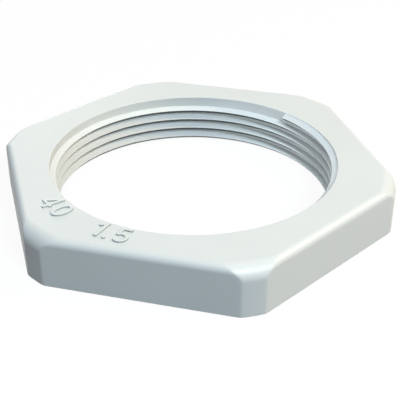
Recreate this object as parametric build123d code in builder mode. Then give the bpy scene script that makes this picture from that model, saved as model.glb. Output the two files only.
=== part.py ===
from build123d import *
import math
import os

# Hexagonal locknut for an M40 x 1.5 cable gland, moulded in one piece of light grey polyamide.
# It lies on its bearing face. The origin is on the thread axis, in the bearing face, with +Z up
# and one pair of spanner flats facing -Y and +Y. All sizes are in millimetres.

# Body
wall_at_flats = 5.0  # from the bore wall out to the middle of each flat
corner_reach = 3.0  # how much further from the axis the six corners are turned than the flats
nut_height = 7.0
flank_edge_radius = 1.6  # upright edges between a flat and the corner beside it
top_edge_radius = 1.0  # where the flats round over into the top face
crown_radius = 2.0  # larger rounding of the six corners into the top face

# Thread, a single right-hand ridge that stands in from a plain bore wall
thread_diameter = 40.0  # across the bore wall, in the roots
thread_pitch = 1.5
ridge_height = 0.812  # from the bore wall in to the crest
ridge_crest_width = 0.1875
ridge_flank_angle = 30.0  # each flank from the radial direction
ridge_end_angle = 60.8  # where the ridge ends squarely under the top face, from +X
ridge_end_gap = 0.17  # from the top face down to the ridge at that end
ridge_root_depth = 0.1  # how far the ridge is carried into the wall behind it
crest_spare = 0.08  # stock past the crest, which the crest bore takes off

# Working values
bore_radius = thread_diameter / 2
flat_radius = bore_radius + wall_at_flats  # half the 50 mm across flats
corner_radius = flat_radius + corner_reach
crest_radius = bore_radius - ridge_height
flank_slope = math.tan(math.radians(ridge_flank_angle))
half_base = ridge_crest_width / 2 + ridge_height * flank_slope
half_root = half_base + ridge_root_depth * flank_slope
half_spare = ridge_crest_width / 2 - crest_spare * flank_slope

ridge_end_height = nut_height - ridge_end_gap - half_base
ridge_foot_height = -half_root - thread_pitch / 4  # the foot starts below the bearing face
ridge_climb = ridge_end_height - ridge_foot_height
ridge_foot_angle = ridge_end_angle - 360 * ridge_climb / thread_pitch

# The ridge: a trapezium carried up a right-hand helix to its square upper end
with BuildPart() as ridge:
    with BuildLine() as helix:
        Helix(pitch=thread_pitch, height=ridge_climb, radius=bore_radius)
    with BuildSketch(Plane.XZ) as ridge_profile:
        with BuildLine():
            Polyline(
                (crest_radius - crest_spare, -half_spare),
                (bore_radius + ridge_root_depth, -half_root),
                (bore_radius + ridge_root_depth, half_root),
                (crest_radius - crest_spare, half_spare),
                close=True,
            )
        make_face()
    sweep(path=helix.line, is_frenet=True)

# The corners round over further than the flats do, on a crown turned about the axis
with BuildPart() as crown:
    Cylinder(corner_radius, nut_height, align=(Align.CENTER, Align.CENTER, Align.MIN))
    fillet(crown.edges().sort_by(Axis.Z)[-1], crown_radius)

with BuildPart() as locknut:
    # Blank: a hexagon with its corners turned down, its upright edges and top edge rounded
    with BuildSketch() as outline:
        RegularPolygon(radius=flat_radius, side_count=6, major_radius=False)
        Circle(corner_radius, mode=Mode.INTERSECT)
        fillet(outline.vertices(), flank_edge_radius)
    extrude(amount=nut_height)
    fillet(locknut.faces().sort_by(Axis.Z)[-1].edges(), top_edge_radius)
    add(crown.part, mode=Mode.INTERSECT)

    # Plain bore wall, then the ridge standing in from it, bored to its crest
    Cylinder(bore_radius, 3 * nut_height, mode=Mode.SUBTRACT)
    with Locations(Location((0, 0, ridge_foot_height), (0, 0, ridge_foot_angle))):
        add(ridge.part)
    Cylinder(crest_radius, 3 * nut_height, mode=Mode.SUBTRACT)

    # The ridge runs out through the bearing face and stays under the top face
    split(bisect_by=Plane.XY, keep=Keep.TOP)
    split(bisect_by=Plane.XY.offset(nut_height), keep=Keep.BOTTOM)

locknut.part.label = "locknut"
os.makedirs("parts", exist_ok=True)
export_step(locknut.part, "parts/locknut.step")
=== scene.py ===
"""Looks of the cable gland locknut: a hexagonal nut with a fine internal thread, moulded in light
grey polyamide, lying on its bearing face. Lengths named here are in millimetres."""

import math

import bmesh
import bpy
import numpy as np
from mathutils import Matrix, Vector
from mathutils.geometry import tessellate_polygon


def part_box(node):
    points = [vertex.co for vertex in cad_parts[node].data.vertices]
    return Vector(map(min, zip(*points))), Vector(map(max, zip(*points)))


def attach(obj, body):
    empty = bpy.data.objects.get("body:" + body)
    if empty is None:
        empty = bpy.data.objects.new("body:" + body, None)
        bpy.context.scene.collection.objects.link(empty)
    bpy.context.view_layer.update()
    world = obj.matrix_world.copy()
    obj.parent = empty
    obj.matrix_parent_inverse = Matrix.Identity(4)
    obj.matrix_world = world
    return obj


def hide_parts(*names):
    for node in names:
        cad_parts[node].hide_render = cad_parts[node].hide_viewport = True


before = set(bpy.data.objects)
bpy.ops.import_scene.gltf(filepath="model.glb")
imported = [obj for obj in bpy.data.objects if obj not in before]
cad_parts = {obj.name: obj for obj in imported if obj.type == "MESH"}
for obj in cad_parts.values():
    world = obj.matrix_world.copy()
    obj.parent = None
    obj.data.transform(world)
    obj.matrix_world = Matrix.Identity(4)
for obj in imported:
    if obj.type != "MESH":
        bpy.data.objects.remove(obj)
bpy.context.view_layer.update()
MM = 0.001

# Sizes of the nut: its reach is the frame's, to 0.01 mm, and its thread is as in the part's source
CORNER, FLAT, HEIGHT = (round(reach / MM, 2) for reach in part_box("locknut")[1])
BORE = 20.0  # radius of the bore wall, in the thread's roots
CREST = 19.188  # radius of the thread's crest
TOP_ROUND = 1.0  # rounding of the flats into the top face
CROWN_ROUND = 2.0  # rounding of the corners into the top face
PITCH = 1.5
TURNS = 5  # the bearing face cuts through the lowest of them
HALF_BASE = 0.5625  # half the ridge's width at the bore wall
HALF_CREST = 0.09375  # height of the crest above the ridge's middle
RIDGE_END_ANGLE = 60.8  # where the ridge ends squarely under the top face, from +X
RIDGE_END_GAP = 0.17  # from the top face down to the ridge at that end

# Small roundings that only the eye needs
CREASE_SOFTNESS = 0.045  # how far a rounded crease lies inside the sharp one
FOOT_ROUND = 0.12  # outer edge of the bearing face
RIM_ROUND = 0.08  # edge between the top face and the bore
CREST_ROUND = 0.05  # edge of the thread's crest
SUPPORT = 0.12  # distance from a rounding to the row that keeps the flat beside it flat
CREST_SUPPORT = 0.04
UNDERSIDE_ROWS = (4, 10)  # the thread's rows that bound its underside, which takes the painted shade, on the crest's arc and at the root
MERGE = 0.0004  # points nearer than this become one
# Points in each arc: the foot and the rim, the corners' crown, the thread's crest and a figure's edge
SMALL_ARC, CROWN_ARC, CREST_ARC, FIGURE_ARC = 5, 28, 7, 4

# Patterns in the plastic: their width, and how much finer detail is laid over them
PATTERNS = {
    "cloud": (12.0, 3.0),
    "gloss": (3.0, 2.0),
    "shrink": (6.0, 1.0),  # slow waves left by shrinkage
    "grain": (0.35, 2.0),  # the polished tool's grain, 0.05 mm wide, drawn coarser so that it shows
}
SHRINK_DEPTH = 0.006
GRAIN_DEPTH = 0.0008

# Roughness of the smooth skin and of the thread's painted-shade underside, each from its glossiest to its
# mattest, and of walls that a spark-eroded tool left
SATIN = (0.38, 0.44)
PAINTED_UNDERSIDE_ROUGHNESS = (0.6, 0.7)
ERODED = 0.6

# Colours, each pair the two ends of a slow change of tone
GREY_POLYAMIDE = ("#DAE0DC", "#DEE4E0")
# Painted shade: dark grey for the thread's underside, a dark line under each crest
PAINTED_UNDERSIDE_SHADE = ("#444A4C", "#4E5456")
WALL_PAINTED_SHADE = "#9AA2A2"  # painted shade on the figures' upright walls, a dark rim round each figure
DARK_FLOOR = "#5C6064"  # the floor as it lights the nut
WHITE = "#FFFFFF"

# Raised numbers on the top face: the nut's thread diameter and pitch, with their feet outwards
FIGURES = (("4", 229.3), ("0", 236.2), ("1", 254.4), (".", 257.4), ("5", 262.2))  # angle from +X
FIGURE_FOOT = 23.55  # radius their feet stand on
FIGURE_TALL = 3.15
FIGURE_STROKE = 0.46
FIGURE_RELIEF = 0.21
FIGURE_ROOT = 0.05  # how far they are carried down into the top face
FIGURE_EDGE = 0.03  # rounding of their upper edge
FIGURE_DRAFT = 0.01  # how much wider they are at the foot of their walls

# The studio. The floor lies a little lower than the bearing face, so that the two share no plane
FLOOR_LEVEL = -0.02
FLOOR_REACH = 4000.0
FLOOR_GLOW = 0.93  # share of the floor's white that is there without light, and takes no shadow
LAMP_DISTANCE = 600.0
# Each softbox: azimuth from +X, elevation, width, watts and colour
SOFTBOXES = {
    "key_softbox": (18, 38, 220.0, 1.8, "#FFDCAC"),
    "front_softbox": (-45, 46, 150.0, 2.85, "#E4F1FF"),
    "top_softbox": (200, 80, 300.0, 1.2, "#EEF6FF"),
    "back_softbox": (125, 10, 300.0, 0.6, WHITE),
    "under_softbox": (0, -90, 100.0, 2.0, WHITE),
}


def turn_angles():
    """One turn of column angles in degrees, up to the ridge's end angle. Between a corner and the middle
    of a flat they lie closest together where the creases beside the corner run."""
    stretches = ((0, 2.4, 5), (2.4, 8.2, 37), (8.2, 30, 16))  # from, to and how many
    half = np.unique(np.concatenate([np.linspace(*stretch) for stretch in stretches]))
    sector = np.concatenate([half[:-1], 60 - half[:0:-1]])
    turn = (sector[None, :] + 60 * np.arange(6)[:, None]).ravel() - RIDGE_END_ANGLE
    turn = np.unique(np.round(np.append(turn % 360, (0, 360)), 6))
    return turn + RIDGE_END_ANGLE - 360


def outline(angle, flat, corner):
    """Radius of the rounded hexagon: the lesser of flat / cos(angle from the flat's normal) and corner,
    with a hyperbola in place of the sharp change from one to the other."""
    beside = flat / np.cos(np.radians(angle % 60 - 30))
    return (beside + corner) / 2 - np.sqrt((beside - corner) ** 2 / 4 + CREASE_SOFTNESS**2)


def round_corner(before, at, after):
    """The crest's corner of the thread's section as a circular arc: its centre lies on the corner's
    bisector, and its points turn evenly from one side's normal to the other's."""
    to_before, to_after = ((other - at) / np.linalg.norm(other - at) for other in (before, after))
    half_angle = math.acos(to_before @ to_after) / 2
    bisector = (to_before + to_after) / np.linalg.norm(to_before + to_after)
    centre = at + bisector * CREST_ROUND / math.sin(half_angle)
    run = CREST_ROUND / math.tan(half_angle)
    first, last = at + to_before * run - centre, at + to_after * run - centre
    sweep = math.pi - 2 * half_angle
    t = np.linspace(0, 1, CREST_ARC)[:, None]
    arc = (np.sin((1 - t) * sweep) * first + np.sin(t * sweep) * last) / math.sin(sweep)
    start, end = (at + side * (run + CREST_SUPPORT) for side in (to_before, to_after))
    return np.concatenate([[start], centre + arc, [end]])


def ring_points(angle, radius, height):
    """Points at the given angles in degrees, radii and heights, in metres: x = r cos a, y = r sin a."""
    angle, radius, height = np.broadcast_arrays(np.radians(angle), radius, height)
    return np.stack([radius * np.cos(angle), radius * np.sin(angle), height], axis=-1) * MM


def grid_faces(rows, columns):
    """Quads between neighbouring rows and columns of a grid whose points are numbered row by row."""
    corner = (np.arange(rows - 1)[:, None] * columns + np.arange(columns - 1)).ravel()
    return np.stack([corner, corner + 1, corner + columns + 1, corner + columns], axis=1)


def body_grid(angles):
    """The nut outside its thread, as a profile carried round the axis: from the bearing face up the
    flats and corners, over the rounding, in across the top face and over the bore's rim. The foot, the
    corners' crown, the flats' rounding and the rim are quarter circles."""
    foot = np.radians(np.linspace(0, 90, SMALL_ARC))
    crown = np.radians(np.linspace(0, 90, CROWN_ARC))
    foot_z = FOOT_ROUND * (1 - np.cos(foot))
    wall_z = [FOOT_ROUND + SUPPORT, HEIGHT - CROWN_ROUND - SUPPORT]
    crown_z = HEIGHT - CROWN_ROUND + CROWN_ROUND * np.sin(crown)
    z = np.concatenate([[0], foot_z, wall_z, crown_z])[:, None]
    inset = np.zeros_like(z)
    inset[0] = FOOT_ROUND + SUPPORT
    inset[1 : len(foot) + 1, 0] = FOOT_ROUND * (1 - np.sin(foot))
    corner = np.full_like(z, CORNER)
    corner[-len(crown) :, 0] = CORNER - CROWN_ROUND * (1 - np.cos(crown))
    over = np.clip((z - HEIGHT + TOP_ROUND) / TOP_ROUND, 0, 1)
    flat = FLAT - TOP_ROUND + TOP_ROUND * np.sqrt(1 - over**2)
    side = ring_points(angles[None, :], outline(angles[None, :], flat, corner) - inset, z)

    edge = outline(angles, FLAT - TOP_ROUND, CORNER - CROWN_ROUND) - SUPPORT
    rim = np.radians(np.linspace(0, 90, SMALL_ARC))[:, None]
    rim_radius = np.concatenate([[[BORE + RIM_ROUND + SUPPORT]], BORE + RIM_ROUND * (1 - np.sin(rim))])
    rim_z = np.concatenate([[[HEIGHT]], HEIGHT - RIM_ROUND * (1 - np.cos(rim))])
    top = ring_points(angles[None, :], edge[None, :], HEIGHT)
    inner = ring_points(angles[None, :], rim_radius, rim_z)
    return np.concatenate([side, top, inner])


def land_grid(angles):
    """The plain bore wall above the thread. Its rows lead from the rim down to a level circle at the
    height of the ridge's end, and on down to the rising upper edge of the last turn."""
    share = (angles - angles[0]) / 360
    rim_foot = np.full_like(share, HEIGHT - RIM_ROUND)
    level = np.full_like(share, HEIGHT - RIDGE_END_GAP)
    turn_top = level - PITCH * (1 - share)
    ridge_foot = turn_top + (PITCH - 2 * HALF_BASE) * (1 - share)
    return ring_points(angles[None, :], BORE, np.stack([rim_foot, level, ridge_foot, turn_top]))


def thread_grid(angles):
    """The thread: one pitch of its section, carried along a right-hand helix that climbs a pitch each
    turn and ends at the last angle. The section leads from the ridge's upper edge in along its upper
    flank, round a sharp crest, out along a straight lower flank and down the wall to the next turn."""
    ridge = [(BORE, HALF_BASE), (CREST, HALF_CREST), (BORE, -HALF_BASE)]
    corners = np.array(ridge + [(BORE, HALF_BASE - PITCH)])
    section = np.concatenate([corners[:1], round_corner(*corners[:3]), corners[2:]])
    turns = [angles[:-1] - 360 * turn for turn in range(TURNS - 1, -1, -1)]
    angle = np.concatenate(turns + [angles[-1:]])
    middle = HEIGHT - RIDGE_END_GAP - HALF_BASE - PITCH * (RIDGE_END_ANGLE - angle) / 360
    return ring_points(angle[None, :], section[:, :1], middle[None, :] + section[:, 1:])


def arc_points(centre, radii, start, end, count):
    """Points of an elliptical arc from one angle to another in degrees: centre + radii * (cos a, sin a)."""
    angle = np.radians(np.linspace(start, end, count))
    return np.stack([centre[0] + radii[0] * np.cos(angle), centre[1] + radii[1] * np.sin(angle)], axis=1)


def mitres(points, closed):
    """Each point's outward step for a unit offset to the right: the sum of the two sides' right-hand
    normals n and m, over 1 + n.m, so that both sides move by one."""
    sides = np.roll(points, -1, axis=0) - points
    sides /= np.linalg.norm(sides, axis=1)[:, None]
    normal = np.stack([sides[:, 1], -sides[:, 0]], axis=1)
    before = np.roll(normal, 1, axis=0)
    if not closed:
        normal[-1] = before[-1]
        before[0] = normal[0]
    return (normal + before) / (1 + np.sum(normal * before, axis=1))[:, None]


def stroke_outline(middle):
    """The closed outline of one stroke: its middle line moved half a stroke to the right, and back half a
    stroke to the left, with square ends and a top cut off at the figure's height."""
    step = mitres(middle, closed=False) * FIGURE_STROKE / 2
    loop = np.concatenate([middle + step, (middle - step)[::-1]])
    loop[:, 1] = np.minimum(loop[:, 1], FIGURE_TALL)
    return loop


def figure_loops(figure):
    """Outlines of a figure, anticlockwise round the stroke and clockwise round a hole, in millimetres:
    across from its middle and up from its foot."""
    if figure == "0":
        wide, tall, centre = 1.0, FIGURE_TALL / 2, (0, FIGURE_TALL / 2)
        outer = arc_points(centre, (wide, tall), 0, 360, 49)[:-1]
        inner = arc_points(centre, (wide - FIGURE_STROKE, tall - FIGURE_STROKE), 360, 0, 49)[:-1]
        return [outer, inner]
    if figure == "1":
        flag, shoulder, foot = (-0.78, 2.3), (0.1, 3.0), (0.1, 0.0)
        return [stroke_outline(np.array([flag, shoulder, foot]))]
    if figure == "4":
        bar, stem, left, right = 0.72, 0.24, -0.98, 1.0
        over, beyond = bar + 0.9 * FIGURE_STROKE, stem + FIGURE_STROKE
        slant_foot, hole_top = over + 0.05, FIGURE_TALL - 0.7
        outer = [(stem, 0), (beyond, 0), (beyond, bar), (right, bar), (right, over), (beyond, over)]
        outer += [(beyond, FIGURE_TALL), (stem, FIGURE_TALL), (left, slant_foot), (left, bar), (stem, bar)]
        inner = [(stem, over), (left + FIGURE_STROKE, over), (stem, hole_top)]
        return [np.array(outer), np.array(inner)]
    if figure == "5":
        centre, radius, under = (-0.02, 1.02), 1.02, FIGURE_TALL - FIGURE_STROKE
        left, right, stem, stem_foot = -0.66, 0.8, -0.29, (-0.82, 1.5)
        outer = arc_points(centre, (radius, radius), -140, 108, 36)
        bar = [(stem, under), (right, under), (right, FIGURE_TALL), (left, FIGURE_TALL), stem_foot]
        inner = arc_points(centre, (radius - FIGURE_STROKE, radius - FIGURE_STROKE), 140, -140, 30)
        return [np.concatenate([outer, bar, inner])]
    radius = 0.24  # of the decimal point
    return [arc_points((0, radius), (radius, radius), 0, 360, 25)[:-1]]


def figure_mesh(figure, angle):
    """One raised figure: its outlines carried up a wall section of inset and height, filled above and
    below, then laid on the top face at an angle from +X. A point x across and y up the figure lies at
    foot radius - y outwards and x along the turn."""
    turn = np.radians(np.linspace(0, 90, FIGURE_ARC))
    inset = np.concatenate([[-FIGURE_DRAFT], FIGURE_EDGE * (1 - np.cos(turn))])
    height = np.concatenate([[-FIGURE_ROOT], FIGURE_RELIEF - FIGURE_EDGE * (1 - np.sin(turn))])
    loops = figure_loops(figure)
    vertices, faces, start = [], [], 0
    count = sum(len(loop) for loop in loops)
    for loop in loops:
        plan = loop[None] - inset[:, None, None] * mitres(loop, closed=True)[None]
        level = np.broadcast_to(height[:, None, None], plan.shape[:2] + (1,))
        vertices.append(np.concatenate([plan, level], axis=-1))
        here = start + np.arange(len(loop))
        ahead = np.roll(here, -1)
        for row in range(len(height) - 1):
            faces += np.stack([here, ahead, ahead + count, here + count], axis=1).tolist()
            here, ahead = here + count, ahead + count
        start += len(loop)
    lids = tessellate_polygon([[Vector(point) for point in loop[-1]] for loop in vertices])
    above = count * (len(height) - 1)
    faces += [tuple(i + above for i in lid) for lid in lids]
    faces += [tuple(lid[::-1]) for lid in lids]
    flat = np.concatenate(vertices, axis=1)
    a = math.radians(angle)
    out, along = np.array((math.cos(a), math.sin(a))), np.array((-math.sin(a), math.cos(a)))
    across = (FIGURE_FOOT - flat[..., 1:2]) * out + flat[..., :1] * along
    placed = np.concatenate([across, HEIGHT + flat[..., 2:]], axis=-1) * MM
    return placed.reshape(-1, 3), faces


def mesh_object(name, vertices, faces):
    """A mesh object at the origin, riding on the nut's body and taking its finish from its slot."""
    mesh = bpy.data.meshes.new(name)
    mesh.from_pydata(vertices, [], faces)
    made = bpy.data.objects.new(name, mesh)
    bpy.context.scene.collection.objects.link(made)
    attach(made, "root")
    return made


def close_mesh(mesh, sharp_degrees):
    """Points all faces outwards, then shades smooth across edges that turn by less than the angle."""
    work = bmesh.new()
    work.from_mesh(mesh)
    bmesh.ops.recalc_face_normals(work, faces=work.faces)
    work.to_mesh(mesh)
    work.free()
    mesh.shade_smooth()
    mesh.set_sharp_from_angle(angle=math.radians(sharp_degrees))


def make_numbers():
    """The two plain numbers on the top face, as one mesh of raised figures."""
    vertices, faces, start = [], [], 0
    for figure, angle in FIGURES:
        points, sides = figure_mesh(figure, angle)
        vertices.append(points)
        faces += [tuple(i + start for i in side) for side in sides]
        start += len(points)
    numbers = mesh_object("size_numbers", np.concatenate(vertices), faces)
    close_mesh(numbers.data, sharp_degrees=40)
    return numbers


def make_nut():
    """Joins the grids into one closed mesh: shared edges are merged, the ridge's square end is faced,
    the thread is cut off in the bearing face, and that face is filled between its two edges. The
    underside of the ridge takes the second material, a painted shade."""
    angles = turn_angles()
    thread = thread_grid(angles)
    vertices, faces, start = [], [], 0
    for grid in (body_grid(angles), land_grid(angles), thread):
        rows, columns = grid.shape[:2]
        vertices.append(grid.reshape(-1, 3))
        faces.extend((grid_faces(rows, columns) + start).tolist())
        start += rows * columns
    rows, columns = thread.shape[:2]
    first, last = (len(faces) - (rows - 1 - row) * (columns - 1) for row in UNDERSIDE_ROWS)
    end_column = start - rows * columns + np.arange(rows - 1) * columns + columns - 1
    faces.append(end_column[::-1].tolist())
    # Faces of the ridge's underside take the second material, which is painted shade
    painted_shade_faces = np.zeros(len(faces), dtype=int)
    painted_shade_faces[first:last] = 1

    nut = mesh_object("nut_body", np.concatenate(vertices), faces)
    nut.data.polygons.foreach_set("material_index", painted_shade_faces)
    work = bmesh.new()
    work.from_mesh(nut.data)
    bmesh.ops.remove_doubles(work, verts=work.verts, dist=MERGE * MM)
    everything = work.verts[:] + work.edges[:] + work.faces[:]
    bearing_face = {"plane_co": (0, 0, 0), "plane_no": (0, 0, 1), "clear_inner": True}
    bmesh.ops.bisect_plane(work, geom=everything, dist=MERGE / 2 * MM, **bearing_face)
    open_edges = [edge for edge in work.edges if edge.is_boundary]
    bmesh.ops.triangle_fill(work, use_beauty=True, edges=open_edges, normal=(0, 0, -1))
    work.to_mesh(nut.data)
    work.free()
    close_mesh(nut.data, sharp_degrees=38)
    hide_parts("locknut")
    return nut


def linear(colour):
    """The linear red, green and blue of an sRGB hex colour, with an alpha of 1: a straight line for dark
    values, and above it a power of 2.4."""
    parts = [int(colour[i : i + 2], 16) / 255 for i in (1, 3, 5)]
    return tuple(c / 12.92 if c <= 0.04045 else ((c + 0.055) / 1.055) ** 2.4 for c in parts) + (1.0,)


def add_node(tree, kind, settings=None, inputs=None):
    """Adds a node with its settings. An input is a value, or a socket that is linked to it."""
    node = tree.nodes.new(kind)
    for key, value in (settings or {}).items():
        setattr(node, key, value)
    for key, value in (inputs or {}).items():
        if isinstance(value, bpy.types.NodeSocket):
            tree.links.new(value, node.inputs[key])
        else:
            node.inputs[key].default_value = value
    return node


def new_material(name):
    """An empty node material and its output node."""
    made = bpy.data.materials.new(name)
    made.use_nodes = True
    made.node_tree.nodes.clear()
    return made, made.node_tree, add_node(made.node_tree, "ShaderNodeOutputMaterial")


def moulded_polyamide(name, tones=GREY_POLYAMIDE, gloss=SATIN, matt_walls_painted_shade=False):
    """Light grey polyamide 6, injection moulded in a smooth tool. The eye gets an even, slightly greenish
    grey with a satin skin: blurred highlights on the roundings and nearly flat tone on the faces. The
    pigment clouds a little over a centimetre, and the gloss over a few millimetres, as the skin froze.
    The dark tones and matt gloss given for the thread's underside are painted shade, a dark line under
    each crest. Where the tool was spark-eroded, as for raised figures, the upright walls come out matt,
    and their colour is darkened as painted shade, a dark rim round each figure."""
    made, tree, output = new_material(name)
    texture = add_node(tree, "ShaderNodeTexCoord").outputs
    noise = {}
    for pattern, (width, detail) in PATTERNS.items():
        inputs = {"Vector": texture["Object"], "Scale": 1 / (width * MM), "Detail": detail}
        noise[pattern] = add_node(tree, "ShaderNodeTexNoise", inputs=inputs).outputs["Fac"]

    # Nearly all of a noise lies between 0.3 and 0.7, so that part is spread over the range
    spread = {}
    for pattern, (low, high) in {"cloud": (0.0, 1.0), "gloss": gloss}.items():
        inputs = {"Value": noise[pattern], "From Min": 0.3, "From Max": 0.7, "To Min": low, "To Max": high}
        spread[pattern] = add_node(tree, "ShaderNodeMapRange", inputs=inputs).outputs["Result"]

    # A Mix node's factor is input 0. Colours are inputs 6 and 7 and output 2, numbers 2, 3 and output 0
    of_colours = {"data_type": "RGBA"}
    inputs = {0: spread["cloud"], 6: linear(tones[0]), 7: linear(tones[1])}
    colour = add_node(tree, "ShaderNodeMix", of_colours, inputs).outputs[2]
    roughness = spread["gloss"]
    if matt_walls_painted_shade:
        # 1 on an upright wall, falling to 0 where the surface turns to face up
        up = add_node(tree, "ShaderNodeSeparateXYZ", inputs={"Vector": texture["Normal"]}).outputs["Z"]
        inputs = {"Value": up, "From Min": 0.3, "From Max": 0.95, "To Min": 1.0, "To Max": 0.0}
        wall = add_node(tree, "ShaderNodeMapRange", inputs=inputs).outputs["Result"]
        # Painted shade: the upright walls are darkened, a dark rim round each figure
        inputs = {0: wall, 6: colour, 7: linear(WALL_PAINTED_SHADE)}
        colour = add_node(tree, "ShaderNodeMix", of_colours, inputs).outputs[2]
        roughness = add_node(tree, "ShaderNodeMix", inputs={0: wall, 2: roughness, 3: ERODED}).outputs[0]

    inputs = {"Strength": 1.0, "Distance": SHRINK_DEPTH * MM, "Height": noise["shrink"]}
    normal = add_node(tree, "ShaderNodeBump", inputs=inputs).outputs["Normal"]
    inputs = {"Strength": 1.0, "Distance": GRAIN_DEPTH * MM, "Height": noise["grain"], "Normal": normal}
    normal = add_node(tree, "ShaderNodeBump", inputs=inputs).outputs["Normal"]
    inputs = {"Base Color": colour, "Roughness": roughness, "IOR": 1.53, "Normal": normal}
    shader = add_node(tree, "ShaderNodeBsdfPrincipled", inputs=inputs)
    tree.links.new(shader.outputs["BSDF"], output.inputs["Surface"])
    return made


def seen_directly(tree, rays):
    """1 for camera, glossy and transmission rays, and 0 for the diffuse light on the object: the greatest
    of the Light Path node's three outputs for them."""
    seen = rays["Is Camera Ray"]
    for ray in ("Is Glossy Ray", "Is Transmission Ray"):
        inputs = {0: seen, 1: rays[ray]}
        seen = add_node(tree, "ShaderNodeMath", {"operation": "MAXIMUM"}, inputs).outputs[0]
    return seen


def make_world():
    """White where it is seen directly. It gives the nut no light of its own."""
    world = bpy.data.worlds.new("studio")
    bpy.context.scene.world = world
    world.use_nodes = True
    tree = world.node_tree
    tree.nodes.clear()
    rays = add_node(tree, "ShaderNodeLightPath").outputs
    inputs = {"Color": linear(WHITE), "Strength": seen_directly(tree, rays)}
    sky = add_node(tree, "ShaderNodeBackground", inputs=inputs)
    add_node(tree, "ShaderNodeOutputWorld", inputs={"Surface": sky.outputs[0]})


def make_floor():
    """A wide, matt, painted floor. Seen directly it is white but for the nut's faint shadow, and it sends
    little light back up. From below it is clear, and it lets the light of a lamp through, so that the
    nut's bearing face can be seen."""
    reach, level = FLOOR_REACH * MM, FLOOR_LEVEL * MM
    corners = [(x * reach, y * reach, level) for x, y in ((-1, -1), (1, -1), (1, 1), (-1, 1))]
    mesh = bpy.data.meshes.new("floor")
    mesh.from_pydata(corners, [], [(0, 1, 2, 3)])
    floor = bpy.data.objects.new("floor", mesh)
    bpy.context.scene.collection.objects.link(floor)

    made, tree, output = new_material("floor_pale_matt")
    rays = add_node(tree, "ShaderNodeLightPath").outputs
    below = add_node(tree, "ShaderNodeNewGeometry").outputs["Backfacing"]
    inputs = {0: below, 1: rays["Is Shadow Ray"]}
    open_to = add_node(tree, "ShaderNodeMath", {"operation": "MAXIMUM"}, inputs).outputs[0]
    dark = add_node(tree, "ShaderNodeBsdfDiffuse", inputs={"Color": linear(DARK_FLOOR)}).outputs[0]
    white = add_node(tree, "ShaderNodeBsdfDiffuse", inputs={"Color": linear(WHITE)}).outputs[0]
    glow = add_node(tree, "ShaderNodeEmission", inputs={"Color": linear(WHITE), "Strength": 1.0}).outputs[0]
    clear = add_node(tree, "ShaderNodeBsdfTransparent").outputs[0]
    pale = add_node(tree, "ShaderNodeMixShader", inputs={0: FLOOR_GLOW, 1: white, 2: glow}).outputs[0]
    inputs = {0: seen_directly(tree, rays), 1: dark, 2: pale}
    paint = add_node(tree, "ShaderNodeMixShader", inputs=inputs).outputs[0]
    shown = add_node(tree, "ShaderNodeMixShader", inputs={0: open_to, 1: paint, 2: clear}).outputs[0]
    tree.links.new(shown, output.inputs["Surface"])
    mesh.materials.append(made)


def soft_lamp(name, place, width, watts, colour, target=(0, 0, 0)):
    """A square area lamp at a place, aimed at a target, that the camera doesn't see."""
    lamp = bpy.data.lights.new(name, "AREA")
    lamp.shape = "SQUARE"
    lamp.size = width * MM
    lamp.energy = watts
    lamp.color = linear(colour)[:3]
    made = bpy.data.objects.new(name, lamp)
    made.location = place
    made.rotation_euler = (Vector(target) - place).to_track_quat("-Z", "Y").to_euler()
    made.visible_camera = False
    bpy.context.scene.collection.objects.link(made)
    return made


def make_softboxes():
    """The softboxes round the nut, all at one distance from it, each in the direction of its azimuth a
    and elevation e: (cos a cos e, sin a cos e, sin e)."""
    for name, (azimuth, elevation, width, watts, colour) in SOFTBOXES.items():
        a, e = math.radians(azimuth), math.radians(elevation)
        towards = Vector((math.cos(a) * math.cos(e), math.sin(a) * math.cos(e), math.sin(e)))
        made = soft_lamp(name, towards * LAMP_DISTANCE * MM, width, watts, colour)
        # The top lamp only grazes the flats, where the grain would break its gloss into specks
        made.visible_glossy = name != "top_softbox"


def make_bore_lamp():
    """A small lamp inside the bore, under the top face, whose beam falls on the back right of the thread.
    The crests keep the softboxes' light from there, and little of this lamp's goes anywhere else."""
    place, target = Vector((-9, -12, 6.4)) * MM, Vector((12, 11, 5)) * MM
    made = soft_lamp("bore_lamp", place, width=6, watts=0.00085, colour="#EEF4FF", target=target)
    made.data.spread = math.radians(75)
    made.visible_glossy = False


def make_camera():
    """The photo's camera, fitted to the nut's outline: a level horizon, and an 84 mm lens on a 36 mm
    sensor."""
    camera = bpy.data.cameras.new("camera")
    camera.sensor_fit = "HORIZONTAL"
    camera.sensor_width = 36.0
    camera.lens = 83.98
    camera.clip_start = 0.01
    camera.clip_end = 20.0
    made = bpy.data.objects.new("camera", camera)
    made.location = Vector((30.646, -110.919, 68.561)) * MM
    target = Vector((0.84, 0.24, 0.0)) * MM
    made.rotation_euler = (target - made.location).to_track_quat("-Z", "Y").to_euler()
    bpy.context.scene.collection.objects.link(made)
    bpy.context.scene.camera = made


nut_finishes = make_nut().data.materials
nut_finishes.append(moulded_polyamide("polyamide_light_grey_moulded"))
# The second material is painted shade: dark and matt on the ridge's underside, a dark line under each crest
nut_finishes.append(moulded_polyamide("polyamide_thread_underside_painted_shade", PAINTED_UNDERSIDE_SHADE, PAINTED_UNDERSIDE_ROUGHNESS))
# The figures' upright walls are matt and darkened as painted shade
make_numbers().data.materials.append(moulded_polyamide("polyamide_light_grey_figures", matt_walls_painted_shade=True))

make_floor()
make_world()
make_softboxes()
make_bore_lamp()
make_camera()
bpy.context.scene.view_settings.view_transform = "Standard"
